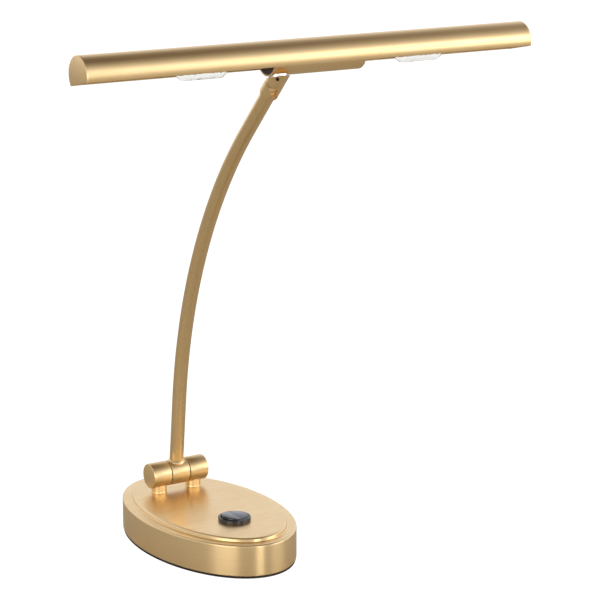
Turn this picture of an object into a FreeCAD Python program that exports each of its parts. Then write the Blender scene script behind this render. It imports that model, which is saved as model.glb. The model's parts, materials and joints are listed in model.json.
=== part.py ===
import FreeCAD, Part
import Sketcher
import math
import os
from FreeCAD import Placement, Rotation, Vector

# Piano lamp, millimetres, Z up. The origin is the centre of the base's underside. X runs along the
# shade, -Y is the front with the switch, +Y the rear with the hinge.

DIMENSIONS = {
    # Base
    "base_length": 172.0,
    "base_width": 101.2,
    "pad_thick": 1.5,
    "pad_inset": 0.5,
    "shell_wall": 2.0,
    "band_height": 23.6,
    "band_inset": 7.0,
    "plateau_height": 26.4,
    "edge_round": 1.3,
    "step_foot_round": 0.8,
    "step_top_round": 1.7,
    "plate_thick": 1.5,
    "plate_gap": 0.3,
    "ballast_thick": 12.0,
    "ballast_gap": 1.2,
    "boss_radius": 4.5,
    "base_screw_radius": 1.9,
    "screw_gap": 0.1,
    "front_screw_inset": 19.0,
    "side_screw_inset": 19.6,
    "side_screw_y": 20.0,
    # Inlet in the rear wall
    "inlet_height": 12.0,
    "inlet_flat": 0.6,
    "grommet_neck_radius": 3.6,
    "grommet_rim_radius": 5.4,
    "grommet_rim_thick": 1.4,
    "grommet_bore_radius": 1.9,
    # Terminal block
    "block_width": 20.0,
    "block_depth": 11.0,
    "block_height": 9.0,
    "block_inset": 26.0,
    "block_gap": 1.0,
    # Switch
    "switch_inset": 49.3,
    "bezel_radius": 11.5,
    "bezel_thick": 2.6,
    "bezel_round": 0.6,
    "switch_body_radius": 10.7,
    "switch_body_depth": 14.0,
    "switch_hole_gap": 0.1,
    "rocker_well_radius": 9.8,
    "rocker_well_depth": 10.0,
    "rocker_radius": 9.4,
    "rocker_pivot_depth": 3.5,
    "rocker_below": 3.0,
    "rocker_crease": 3.8,
    "rocker_facet_angle": 5.0,
    "rocker_tilt": 4.0,
    "trunnion_radius": 1.2,
    "trunnion_reach": 0.4,
    "running_gap": 0.05,
    "blade_width": 4.8,
    "blade_thick": 0.8,
    "blade_length": 7.0,
    "blade_pitch": 5.0,
    # Hinge
    "hinge_inset": 40.5,
    "hinge_height": 39.3,
    "knuckle_radius": 9.0,
    "knuckle_length": 14.5,
    "knuckle_chamfer": 0.5,
    "washer_thick": 0.5,
    "washer_radius": 8.6,
    "side_gap": 0.05,
    "hinge_bolt_radius": 3.0,
    "bolt_head_radius": 4.9,
    "bolt_head_thick": 3.0,
    "spring_washer_thick": 0.8,
    "end_cap_thick": 1.4,
    "end_cap_gap": 0.1,
    "blind_end": 3.5,
    "post_radius": 5.6,
    "post_spacing": 28.2,
    "stud_radius": 3.0,
    "post_screw_reach": 8.0,
    "post_nut_radius": 5.7,
    "post_nut_thick": 5.0,
    # Arm
    "arm_radius": 5.0,
    "arm_wall": 1.0,
    "arm_seat": 4.6,
    "arm_first_run": 55.7,
    "arm_bend_radius": 361.8,
    "arm_lean_low": 6.4,
    "arm_lean_high": 43.45,
    "arm_last_run": 36.8,
    "lead_radius": 2.6,
    # Knuckle at the top of the arm
    "coupling_radius": 6.3,
    "coupling_plug": 14.0,
    "plug_gap": 0.05,
    "pivot_rise": 6.8,
    "shoulder_round": 1.5,
    "lug_radius": 5.2,
    "lug_gap": 0.25,
    "lug_rest": 4.4,
    "split_gap": 0.1,
    "coupling_screw_radius": 2.0,
    "coupling_head_radius": 3.2,
    "coupling_head_thick": 1.6,
    "coupling_head_sink": 0.6,
    "coupling_washer_thick": 0.4,
    "coupling_wall": 1.8,
    "coupling_face_drop": 11.0,
    "grub_radius": 1.2,
    "grub_drop": 1.8,
    "grub_angle": 38.0,
    # Swivel
    "swivel_stud_radius": 2.5,
    "swivel_stud_sink": 3.2,
    "swivel_nut_radius": 4.5,
    "swivel_nut_thick": 3.6,
    # Shade
    "shade_length": 340.0,
    "shade_radius": 12.5,
    "shade_wall": 0.8,
    "shade_open_drop": 5.5,
    "shade_tilt": 11.175,
    "pivot_back": 9.23,
    "pivot_drop": 17.4,
    "head_shift": 27.5,
    "cap_thick": 1.5,
    "cap_plug_depth": 3.0,
    "cap_plug_gap": 0.05,
    "reflector_thick": 0.35,
    "reflector_gap": 0.05,
    "reflector_edge": 1.2,
    # Carrier
    "carrier_half_length": 35.0,
    "carrier_radius": 11.2,
    "carrier_raise": 0.8,
    "carrier_wall": 1.0,
    "end_plug_thick": 2.0,
    "carrier_post_radius": 2.5,
    "carrier_post_x": 15.0,
    "carrier_screw_radius": 1.2,
    "carrier_screw_head": 2.3,
    "carrier_screw_reach": 6.0,
    # Lamps
    "lamp_drop": 1.5,
    "holder_radius": 7.0,
    "holder_length": 22.0,
    "holder_flat_drop": 4.9,
    "tenon_radius": 1.9,
    "tenon_drop": 2.9,
    "pinch_width": 9.0,
    "pinch_thick": 4.0,
    "pinch_length": 9.0,
    "glass_radius": 7.3,
    "glass_length": 35.0,
    "glass_wall": 0.8,
    "glass_round": 5.0,
    "pip_length": 2.5,
    "pip_radius": 1.2,
    "filament_radius": 0.45,
    "filament_length": 24.0,
    "lamp_pin_radius": 0.5,
    "lamp_pin_pitch": 5.0,
    "lamp_pin_length": 8.0,
    "wire_radius": 0.9,
    "wire_spacing": 8.0,
}

doc = FreeCAD.newDocument("piano_lamp")
sheet = doc.addObject("Spreadsheet::Sheet", "Sizes")
for row, (alias, number) in enumerate(DIMENSIONS.items(), start=1):
    sheet.set(f"A{row}", alias.replace("_", " "))
    sheet.set(f"B{row}", str(number))
    sheet.setAlias(f"B{row}", alias)
doc.recompute()

X_AXIS = Vector(1, 0, 0)
Y_AXIS = Vector(0, 1, 0)
Z_AXIS = Vector(0, 0, 1)
HERE = Placement()
nodes = []


def size(alias):
    """Read one named size from the sheet."""
    return float(sheet.get(alias))


def formula(text):
    """Turn size names into references to the sheet's cells."""
    words = text.replace("(", " ( ").replace(")", " ) ").split()
    bound = " ".join(f"Sizes.{word}" if word in DIMENSIONS else word for word in words)
    return bound.replace("sqrt (", "sqrt(")


def rod(name, radius, length, start=Vector(), axis=Z_AXIS, frame=HERE):
    """Cylinder from a start point along an axis."""
    shape = doc.addObject("Part::Cylinder", name)
    shape.setExpression("Radius", formula(radius))
    shape.setExpression("Height", formula(length))
    shape.Placement = frame * Placement(start, Rotation(Z_AXIS, axis))
    return shape


def block(name, sides, centre, frame=HERE):
    """Box that stands centred in X and Y on the given point."""
    shape = doc.addObject("Part::Box", name)
    for side, text in zip(("Length", "Width", "Height"), sides):
        shape.setExpression(side, formula(text))
    doc.recompute()
    corner = Vector(-shape.Length.Value / 2, -shape.Width.Value / 2, 0)
    shape.Placement = frame * Placement(centre + corner, Rotation())
    return shape


def oval(name, inset, base, height):
    """Upright oval slab, inset all round from the base's outline."""
    outline = doc.addObject("Part::Ellipse", name + "_outline")
    outline.setExpression("MajorRadius", formula(f"base_length / 2 - ( {inset} )"))
    outline.setExpression("MinorRadius", formula(f"base_width / 2 - ( {inset} )"))
    outline.Placement = Placement(Vector(0, 0, base), Rotation(Z_AXIS, 90))
    slab = doc.addObject("Part::Extrusion", name)
    slab.Base = outline
    slab.DirMode = "Custom"
    slab.Dir = Z_AXIS
    slab.Solid = True
    slab.setExpression("LengthFwd", formula(height))
    return slab


def fuse(name, *shapes):
    joined = doc.addObject("Part::MultiFuse", name)
    joined.Shapes = list(shapes)
    return joined


def cut(name, base, *tools):
    """Base with every tool taken away."""
    taken = doc.addObject("Part::Cut", name)
    taken.Base = base
    taken.Tool = tools[0] if len(tools) == 1 else fuse(name + "_tools", *tools)
    return taken


def common(name, first, second):
    shared = doc.addObject("Part::Common", name)
    shared.Base = first
    shared.Tool = second
    return shared


def group(name, *solids):
    """Several separate solids in one sub-part."""
    together = doc.addObject("Part::Compound", name)
    together.Links = list(solids)
    return together


def soften(name, kind, base, radius, wanted):
    """Fillet or chamfer of the edges that the test accepts."""
    doc.recompute()
    softened = doc.addObject(kind, name)
    softened.Base = base
    chosen = [number for number, edge in enumerate(base.Shape.Edges, start=1) if wanted(edge)]
    if not chosen:
        raise RuntimeError(name + ": no edge found")
    softened.Edges = [(number, radius, radius) for number in chosen]
    return softened


def node(label, shape):
    """Name a finished sub-part."""
    shape.Label = label
    nodes.append(shape)
    return shape


def ring_at(height, reach):
    """Test for a level closed edge at a height that reaches a distance from Y = 0."""
    def wanted(edge):
        box = edge.BoundBox
        level = abs(box.ZMin - height) < 0.01 and abs(box.ZMax - height) < 0.01
        return level and abs(box.YMax - reach) < 0.05
    return wanted


def lean(angle):
    """Unit vector that leans forward from the vertical by an angle."""
    return Vector(0, -math.sin(math.radians(angle)), math.cos(math.radians(angle)))


# Places worked out from the sizes
HALF_LENGTH = size("base_length") / 2
HALF_WIDTH = size("base_width") / 2
HINGE = Vector(0, HALF_LENGTH - size("hinge_inset"), size("hinge_height"))
SWITCH = Vector(0, size("switch_inset") - HALF_LENGTH, size("plateau_height"))
ARM_LOW = lean(size("arm_lean_low"))
ARM_HIGH = lean(size("arm_lean_high"))
BEND_START = HINGE + ARM_LOW * size("arm_first_run")
BEND_CENTRE = BEND_START + lean(size("arm_lean_low") + 90) * size("arm_bend_radius")
BEND_END = BEND_CENTRE - lean(size("arm_lean_high") + 90) * size("arm_bend_radius")
SHOULDER = BEND_END + ARM_HIGH * size("arm_last_run")
PIVOT = SHOULDER + ARM_HIGH * size("pivot_rise")
COUPLING = Placement(PIVOT, Rotation(X_AXIS, size("arm_lean_high")))
HEAD_TURN = Rotation(X_AXIS, -size("shade_tilt"))
HEAD_FROM_PIVOT = Vector(size("head_shift"), -size("pivot_back"), size("pivot_drop"))
HEAD = Placement(PIVOT + HEAD_TURN.multVec(HEAD_FROM_PIVOT), HEAD_TURN)
FLOOR_TOP = size("pad_thick") + size("plate_thick")
BALLAST_TOP = FLOOR_TOP + size("ballast_thick")
BLOCK_SPOT = Vector(0, HALF_LENGTH - size("block_inset"), FLOOR_TOP)
ROOF_UNDER = size("plateau_height") - size("shell_wall")
SCREW_SPOTS = [
    Vector(0, size("front_screw_inset") - HALF_LENGTH, 0),
    Vector(HALF_WIDTH - size("side_screw_inset"), size("side_screw_y"), 0),
    Vector(size("side_screw_inset") - HALF_WIDTH, size("side_screw_y"), 0),
]
POST_SPOTS = {"left": -size("post_spacing") / 2, "right": size("post_spacing") / 2}


def at_height(spot, height):
    return Vector(spot.x, spot.y, height)


def make_base_shell():
    lower = oval("shell_lower", "0", size("pad_thick"), "band_height - pad_thick")
    upper = oval("shell_upper", "band_inset", size("pad_thick"), "plateau_height - pad_thick")
    stepped = fuse("shell_stepped", lower, upper)
    band = HALF_LENGTH - size("band_inset")
    outer_edge = soften("shell_edge", "Part::Fillet", stepped, size("edge_round"),
                        ring_at(size("band_height"), HALF_LENGTH))
    foot_edge = soften("shell_foot", "Part::Fillet", outer_edge, size("step_foot_round"),
                       ring_at(size("band_height"), band))
    top_edge = soften("shell_top", "Part::Fillet", foot_edge, size("step_top_round"),
                      ring_at(size("plateau_height"), band))
    low_room = oval("shell_low_room", "shell_wall", size("pad_thick"), "band_height - shell_wall - pad_thick")
    high_room = oval("shell_high_room", "band_inset + shell_wall", size("pad_thick"),
                     "plateau_height - shell_wall - pad_thick")
    hollow = cut("shell_hollow", top_edge, low_room, high_room)
    bosses = [rod(f"boss_{number}", "boss_radius",
                  "plateau_height - shell_wall / 2 - pad_thick - plate_thick - ballast_thick",
                  at_height(spot, BALLAST_TOP))
              for number, spot in enumerate(SCREW_SPOTS)]
    bossed = fuse("shell_bossed", hollow, *bosses)
    holes = [rod(f"boss_hole_{number}", "base_screw_radius + screw_gap",
                 "plateau_height - shell_wall - pad_thick - plate_thick - ballast_thick",
                 at_height(spot, BALLAST_TOP))
             for number, spot in enumerate(SCREW_SPOTS)]
    for side, x in POST_SPOTS.items():
        holes.append(rod(f"post_hole_{side}", "stud_radius + screw_gap", "shell_wall * 3",
                         Vector(x, HINGE.y, size("plateau_height") - size("shell_wall") * 2)))
    holes.append(rod("switch_hole", "switch_body_radius + switch_hole_gap", "shell_wall * 3",
                     at_height(SWITCH, size("plateau_height") - size("shell_wall") * 2)))
    holes.append(rod("inlet_hole", "grommet_neck_radius", "shell_wall * 4",
                     Vector(0, HALF_LENGTH - size("shell_wall") * 2, size("inlet_height")), Y_AXIS))
    holes.append(rod("inlet_spotface", "grommet_rim_radius + screw_gap", "shell_wall * 2",
                     Vector(0, HALF_LENGTH - size("inlet_flat"), size("inlet_height")), Y_AXIS))
    node("base_shell", cut("base_shell", bossed, *holes))


def make_base_inside():
    ballast = oval("ballast_slab", "shell_wall + ballast_gap", FLOOR_TOP, "ballast_thick")
    openings = [rod("ballast_switch_room", "switch_body_radius + ballast_gap", "ballast_thick",
                    at_height(SWITCH, FLOOR_TOP)),
                block("ballast_block_room", ("block_width + block_gap * 2", "block_depth + block_gap * 2",
                                             "ballast_thick"), BLOCK_SPOT),
                rod("ballast_lead_room", "grommet_rim_radius + ballast_gap", "ballast_thick",
                    Vector(0, HALF_LENGTH - size("grommet_rim_radius"), FLOOR_TOP))]
    for number, spot in enumerate(SCREW_SPOTS):
        openings.append(rod(f"ballast_screw_room_{number}", "base_screw_radius + screw_gap * 4",
                            "ballast_thick", at_height(spot, FLOOR_TOP)))
    node("ballast_weight", cut("ballast_weight", ballast, *openings))

    plate = oval("plate_slab", "shell_wall + plate_gap", size("pad_thick"), "plate_thick")
    sinks = []
    screws = []
    for number, spot in enumerate(SCREW_SPOTS):
        sinks.append(make_screw_form(f"sink_{number}", spot, "screw_gap"))
        screws.append(make_screw_form(f"base_screw_{number}", spot, "0"))
    node("bottom_plate", cut("bottom_plate", plate, *sinks))
    node("base_screws", group("base_screws", *screws))
    node("felt_pad", oval("felt_pad", "pad_inset", 0.0, "pad_thick"))

    node("terminal_block", block("terminal_block", ("block_width", "block_depth", "block_height"),
                                 BLOCK_SPOT))
    inner = Vector(0, HALF_LENGTH - size("inlet_flat"), size("inlet_height"))
    rim = size("grommet_rim_thick")
    outer_rim = rod("grommet_outer", "grommet_rim_radius", "grommet_rim_thick", inner, Y_AXIS)
    inner_rim = rod("grommet_inner", "grommet_rim_radius", "grommet_rim_thick",
                    inner - Y_AXIS * (size("shell_wall") + rim), Y_AXIS)
    neck = rod("grommet_neck", "grommet_neck_radius", "shell_wall", inner - Y_AXIS * size("shell_wall"), Y_AXIS)
    bore = rod("grommet_bore", "grommet_bore_radius", "shell_wall + grommet_rim_thick * 4",
               inner - Y_AXIS * (size("shell_wall") + rim * 2), Y_AXIS)
    node("cable_gland", cut("cable_gland", fuse("grommet_form", outer_rim, inner_rim, neck), bore))


def make_screw_form(name, spot, gap):
    """Countersunk screw from the plate up into its boss, or its hole when a gap is given."""
    head = doc.addObject("Part::Cone", name + "_head")
    head.setExpression("Radius1", formula(f"base_screw_radius + plate_thick + {gap}"))
    head.setExpression("Radius2", formula(f"base_screw_radius + {gap}"))
    head.setExpression("Height", formula("plate_thick"))
    head.Placement = Placement(at_height(spot, size("pad_thick")), Rotation())
    shank = rod(name + "_shank", f"base_screw_radius + {gap}", "plate_thick + ballast_thick + boss_radius",
                at_height(spot, size("pad_thick")))
    return fuse(name, head, shank)


def make_switch():
    bezel = rod("bezel", "bezel_radius", "bezel_thick", SWITCH)
    top = SWITCH.z + size("bezel_thick")
    bezel_soft = soften("bezel_soft", "Part::Fillet", bezel, size("bezel_round"),
                        lambda edge: abs(edge.BoundBox.ZMin - top) < 0.01)
    body = rod("switch_body", "switch_body_radius", "switch_body_depth",
               SWITCH - Z_AXIS * size("switch_body_depth"))
    housing = fuse("switch_form", bezel_soft, body)
    well = rod("rocker_well", "rocker_well_radius", "rocker_well_depth",
               at_height(SWITCH, top - size("rocker_well_depth")))
    pivot = at_height(SWITCH, top - size("rocker_pivot_depth"))
    reach = size("rocker_well_radius") + size("trunnion_reach")
    socket = rod("trunnion_socket", "trunnion_radius + running_gap",
                 "( rocker_well_radius + trunnion_reach + running_gap ) * 2",
                 pivot - Y_AXIS * (reach + size("running_gap")), Y_AXIS)
    node("switch_housing", cut("switch_housing", housing, well, socket))

    blades = []
    for number in (-1, 0, 1):
        blade_end = -size("switch_body_depth") - size("blade_length")
        foot = SWITCH + Vector(number * size("blade_pitch"), 0, blade_end)
        blades.append(block(f"blade_{number + 1}", ("blade_thick", "blade_width", "blade_length"), foot))
    node("switch_terminals", group("switch_terminals", *blades))

    rocker_frame = Placement(pivot, Rotation(Y_AXIS, size("rocker_tilt")))
    puck = rod("rocker_puck", "rocker_radius", "rocker_below + rocker_pivot_depth + rocker_crease",
               Vector(0, 0, -size("rocker_below")), Z_AXIS, rocker_frame)
    crease = Vector(0, 0, size("rocker_crease"))
    facets = []
    for side, name in ((1, "right"), (-1, "left")):
        facet = doc.addObject("Part::Box", f"facet_{name}")
        facet.setExpression("Length", formula("rocker_radius * 2"))
        facet.setExpression("Width", formula("rocker_radius * 3"))
        facet.setExpression("Height", formula("rocker_radius"))
        turn = Rotation(Z_AXIS, 90 - side * 90) * Rotation(Y_AXIS, -size("rocker_facet_angle"))
        corner = Vector(0, -size("rocker_radius") * 1.5, 0)
        facet.Placement = rocker_frame * Placement(crease, turn) * Placement(corner, Rotation())
        facets.append(facet)
    top_form = cut("rocker_top", puck, *facets)
    trunnion = rod("trunnion", "trunnion_radius", "( rocker_well_radius + trunnion_reach ) * 2",
                   Vector(0, -reach, 0), Y_AXIS, rocker_frame)
    node("switch_rocker", fuse("switch_rocker", top_form, trunnion))


def make_barrel(name, length, start):
    """Hinge barrel along X with both ends chamfered."""
    barrel = rod(name + "_round", "knuckle_radius", length, start, X_AXIS)
    return soften(name + "_barrel", "Part::Chamfer", barrel, size("knuckle_chamfer"),
                  lambda edge: len(edge.Vertexes) == 1)


def make_hinge():
    inner_end = size("knuckle_length") / 2 + size("washer_thick")
    outer_end = inner_end + size("knuckle_length")
    screw_depth = size("bolt_head_thick") + size("spring_washer_thick") + size("end_cap_thick")
    bolt_stop = -(outer_end - size("blind_end"))
    bolt_hole = "knuckle_length * 4"
    for side, sign in (("left", -1), ("right", 1)):
        start = HINGE + X_AXIS * (min(sign * inner_end, sign * outer_end))
        barrel = make_barrel(f"outer_{side}", "knuckle_length", start)
        x = POST_SPOTS[side]
        stud_room = rod(f"tenon_room_{side}", "stud_radius + screw_gap",
                        "knuckle_radius + hinge_bolt_radius - arm_seat",
                        Vector(x, HINGE.y, HINGE.z - size("knuckle_radius") - size("hinge_bolt_radius")))
        rooms = [stud_room]
        if side == "left":
            rooms.append(rod("bolt_room_left", "hinge_bolt_radius + running_gap", "knuckle_length",
                             HINGE + X_AXIS * bolt_stop, X_AXIS))
        else:
            rooms.append(rod("bolt_room_right", "hinge_bolt_radius + running_gap", bolt_hole, HINGE, X_AXIS))
            rooms.append(rod("head_room", "bolt_head_radius + end_cap_gap", "knuckle_length",
                             HINGE + X_AXIS * (outer_end - screw_depth), X_AXIS))
        node(f"outer_knuckle_{side}", cut(f"outer_knuckle_{side}", barrel, *rooms))

        shaft = rod(f"post_shaft_{side}", "post_radius", "hinge_height - plateau_height",
                    Vector(x, HINGE.y, size("plateau_height")))
        saddle = rod(f"post_saddle_{side}", "knuckle_radius", "post_radius * 4",
                     HINGE + X_AXIS * (x - size("post_radius") * 2), X_AXIS)
        stud = rod(f"post_stud_{side}", "stud_radius",
                   "hinge_height - plateau_height + post_screw_reach - arm_seat",
                   Vector(x, HINGE.y, size("plateau_height") - size("post_screw_reach")))
        saddled = cut(f"post_saddled_{side}", shaft, saddle)
        node(f"hinge_post_{side}", fuse(f"hinge_post_{side}", saddled, stud))

        ring_start = HINGE + X_AXIS * (min(sign * size("knuckle_length") / 2, sign * inner_end))
        ring = rod(f"ring_{side}", "washer_radius", "washer_thick", ring_start, X_AXIS)
        ring_hole = rod(f"ring_hole_{side}", "hinge_bolt_radius + running_gap", "washer_thick",
                        ring_start, X_AXIS)
        node(f"hinge_washer_{side}", cut(f"hinge_washer_{side}", ring, ring_hole))

    head_start = outer_end - size("end_cap_thick") - size("bolt_head_thick")
    bolt_start = bolt_stop + size("side_gap")
    shank = rod("bolt_shank", "hinge_bolt_radius", "knuckle_length * 3", HINGE + X_AXIS * bolt_start, X_AXIS)
    trim = rod("bolt_trim", "knuckle_radius", "knuckle_length * 2", HINGE + X_AXIS * head_start, X_AXIS)
    head = rod("bolt_head", "bolt_head_radius", "bolt_head_thick", HINGE + X_AXIS * head_start, X_AXIS)
    node("hinge_bolt", fuse("hinge_bolt", cut("bolt_cut", shank, trim), head))
    spring_start = HINGE + X_AXIS * (outer_end - screw_depth)
    spring = rod("spring_disc", "bolt_head_radius", "spring_washer_thick", spring_start, X_AXIS)
    spring_hole = rod("spring_hole", "hinge_bolt_radius + running_gap", "spring_washer_thick",
                      spring_start, X_AXIS)
    node("hinge_spring_washer", cut("hinge_spring_washer", spring, spring_hole))
    cap_start = HINGE + X_AXIS * (outer_end - size("end_cap_thick"))
    node("hinge_end_cap", rod("hinge_end_cap", "bolt_head_radius", "end_cap_thick", cap_start, X_AXIS))

    nuts = []
    for side, x in POST_SPOTS.items():
        prism = doc.addObject("Part::Prism", f"nut_prism_{side}")
        prism.Polygon = 6
        prism.setExpression("Circumradius", formula("post_nut_radius"))
        prism.setExpression("Height", formula("post_nut_thick"))
        foot = Vector(x, HINGE.y, ROOF_UNDER - size("post_nut_thick"))
        prism.Placement = Placement(foot, Rotation())
        bore = rod(f"nut_bore_{side}", "stud_radius + running_gap", "post_nut_thick", foot)
        nuts.append(cut(f"post_nut_{side}", prism, bore))
    node("post_nuts", group("post_nuts", *nuts))


def tube_form(name, radius, lead_in, lead_out):
    """Round bar along the arm's line: a straight run, one bend and a straight run."""
    first = rod(name + "_low", radius, f"arm_first_run - {lead_in}", HINGE + ARM_LOW * size(lead_in), ARM_LOW)
    bend = doc.addObject("Part::Torus", name + "_bend")
    bend.setExpression("Radius1", formula("arm_bend_radius"))
    bend.setExpression("Radius2", formula(radius))
    bend.setExpression("Angle3", formula("arm_lean_high - arm_lean_low"))
    upright = Rotation(Y_AXIS, Z_AXIS, X_AXIS, "XYZ")
    bend.Placement = Placement(BEND_CENTRE, Rotation(X_AXIS, size("arm_lean_low")) * upright)
    last = rod(name + "_high", radius, f"arm_last_run - {lead_out}", BEND_END, ARM_HIGH)
    return fuse(name, first, bend, last)


def make_arm():
    width = "knuckle_length - side_gap * 2"
    start = HINGE - X_AXIS * (size("knuckle_length") / 2 - size("side_gap"))
    barrel = make_barrel("centre", width, start)
    bolt_room = rod("centre_bolt_room", "hinge_bolt_radius + running_gap", "knuckle_length * 2",
                    HINGE - X_AXIS * size("knuckle_length"), X_AXIS)
    socket = rod("arm_socket", "arm_radius", "knuckle_radius", HINGE + ARM_LOW * size("arm_seat"), ARM_LOW)
    node("centre_knuckle", cut("centre_knuckle", barrel, bolt_room, socket))
    outside = tube_form("arm_outside", "arm_radius", "arm_seat", "0")
    inside = tube_form("arm_inside", "arm_radius - arm_wall", "arm_seat", "0")
    node("arm_tube", cut("arm_tube", outside, inside))
    node("arm_lead", tube_form("arm_lead", "lead_radius", "arm_seat", "coupling_plug"))


def make_couplings():
    rise = size("pivot_rise")
    reach = size("coupling_radius") * 2
    room_width = "coupling_radius * 3"
    half_room = size("coupling_radius") * 3 / 2
    lug_back = size("lug_radius") + size("lug_gap")
    left_face = -size("split_gap")
    right_face = size("split_gap")

    stub = rod("lower_stub", "coupling_radius", "pivot_rise + lug_radius", Vector(0, 0, -rise),
               Z_AXIS, COUPLING)
    stub_soft = soften("lower_stub_soft", "Part::Fillet", stub, size("shoulder_round"),
                       lambda edge: len(edge.Vertexes) == 1 and (edge.CenterOfMass - SHOULDER).Length < 0.1)
    foot = block("lower_foot", (room_width, room_width, "coupling_radius * 2"),
                 Vector(0, 0, -reach), COUPLING)
    eye = rod("lower_eye", "lug_radius", "coupling_radius * 2", Vector(left_face - reach, 0, 0),
              X_AXIS, COUPLING)
    body = common("lower_body", stub_soft, fuse("lower_regions", foot, eye))
    above = block("lower_right_room", (room_width, room_width, "coupling_radius * 2"),
                  Vector(left_face + half_room, 0, -size("lug_rest")), COUPLING)
    sweep = rod("lower_right_sweep", "lug_radius + lug_gap", "coupling_radius * 2",
                Vector(left_face, 0, 0), X_AXIS, COUPLING)
    thread = rod("lower_thread", "coupling_screw_radius + screw_gap / 2", "coupling_radius",
                 Vector(-size("coupling_radius") + size("coupling_wall"), 0, 0), X_AXIS, COUPLING)
    opened = cut("lower_opened", body, above, sweep, thread)
    plug = rod("lower_plug", "arm_radius - arm_wall - plug_gap", "coupling_plug",
               Vector(0, 0, -rise - size("coupling_plug")), Z_AXIS, COUPLING)
    node("lower_coupling", fuse("lower_coupling", opened, plug))

    long_bar = rod("upper_bar", "coupling_radius", "coupling_radius * 5",
                   Vector(0, 0, -size("coupling_radius")), Z_AXIS, COUPLING)
    right_half = block("upper_right_half", (room_width, room_width, "coupling_radius * 4"),
                       Vector(right_face + half_room, 0, 0), COUPLING)
    brow = block("upper_brow", (room_width, room_width, room_width),
                 Vector(0, 0, lug_back), COUPLING)
    upper_eye = rod("upper_eye", "lug_radius", "coupling_radius", Vector(right_face, 0, 0), X_AXIS, COUPLING)
    kept = common("upper_kept", long_bar, fuse("upper_regions", right_half, brow, upper_eye))
    lid = block("upper_lid", ("coupling_radius * 9", "coupling_radius * 9", "coupling_radius * 9"),
                Vector(-size("head_shift"), 0, -size("coupling_face_drop")), HEAD)
    head_face = size("coupling_radius") - size("coupling_head_thick") - size("coupling_head_sink")
    screw_room = rod("upper_screw_room", "coupling_screw_radius + running_gap", "coupling_radius * 2",
                     Vector(0, 0, 0), X_AXIS, COUPLING)
    seat = head_face - size("coupling_washer_thick")
    head_room = rod("upper_head_room", "coupling_head_radius + screw_gap", "coupling_radius",
                    Vector(seat - size("side_gap"), 0, 0), X_AXIS, COUPLING)
    stud_room = rod("upper_stud_room", "swivel_stud_radius + running_gap", "coupling_radius * 2",
                    Vector(-size("head_shift"), 0, -size("coupling_face_drop") - size("swivel_stud_sink")),
                    Z_AXIS, HEAD)
    turn = math.radians(size("grub_angle"))
    grub_way = Vector(-math.sin(turn), -math.cos(turn), 0)
    stud_axis = Vector(-size("head_shift"), 0, -size("coupling_face_drop") - size("grub_drop"))
    grub_start = stud_axis + grub_way * (size("swivel_stud_radius") + size("running_gap") * 2)
    grub_room = rod("grub_room", "grub_radius + running_gap", "coupling_radius * 2", stud_axis, grub_way, HEAD)
    node("upper_coupling", cut("upper_coupling", kept, lid, screw_room, head_room, stud_room, grub_room))

    shaft = rod("coupling_shaft", "coupling_screw_radius",
                "coupling_radius * 2 - coupling_wall - coupling_head_thick - coupling_head_sink",
                Vector(-size("coupling_radius") + size("coupling_wall"), 0, 0), X_AXIS, COUPLING)
    head = rod("coupling_head", "coupling_head_radius", "coupling_head_thick", Vector(head_face, 0, 0),
               X_AXIS, COUPLING)
    node("coupling_screw", fuse("coupling_screw", shaft, head))
    disc = rod("coupling_disc", "coupling_head_radius", "coupling_washer_thick", Vector(seat, 0, 0),
               X_AXIS, COUPLING)
    disc_hole = rod("coupling_disc_hole", "coupling_screw_radius + running_gap", "coupling_washer_thick",
                    Vector(seat, 0, 0), X_AXIS, COUPLING)
    node("coupling_washer", cut("coupling_washer", disc, disc_hole))
    grub_bar = rod("grub_bar", "grub_radius", "coupling_radius * 2", grub_start, grub_way, HEAD)
    grub_column = rod("grub_column", "coupling_radius - screw_gap", "coupling_radius * 5",
                      Vector(0, 0, 0), Z_AXIS, COUPLING)
    node("stud_grub_screw", common("stud_grub_screw", grub_bar, grub_column))


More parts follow.
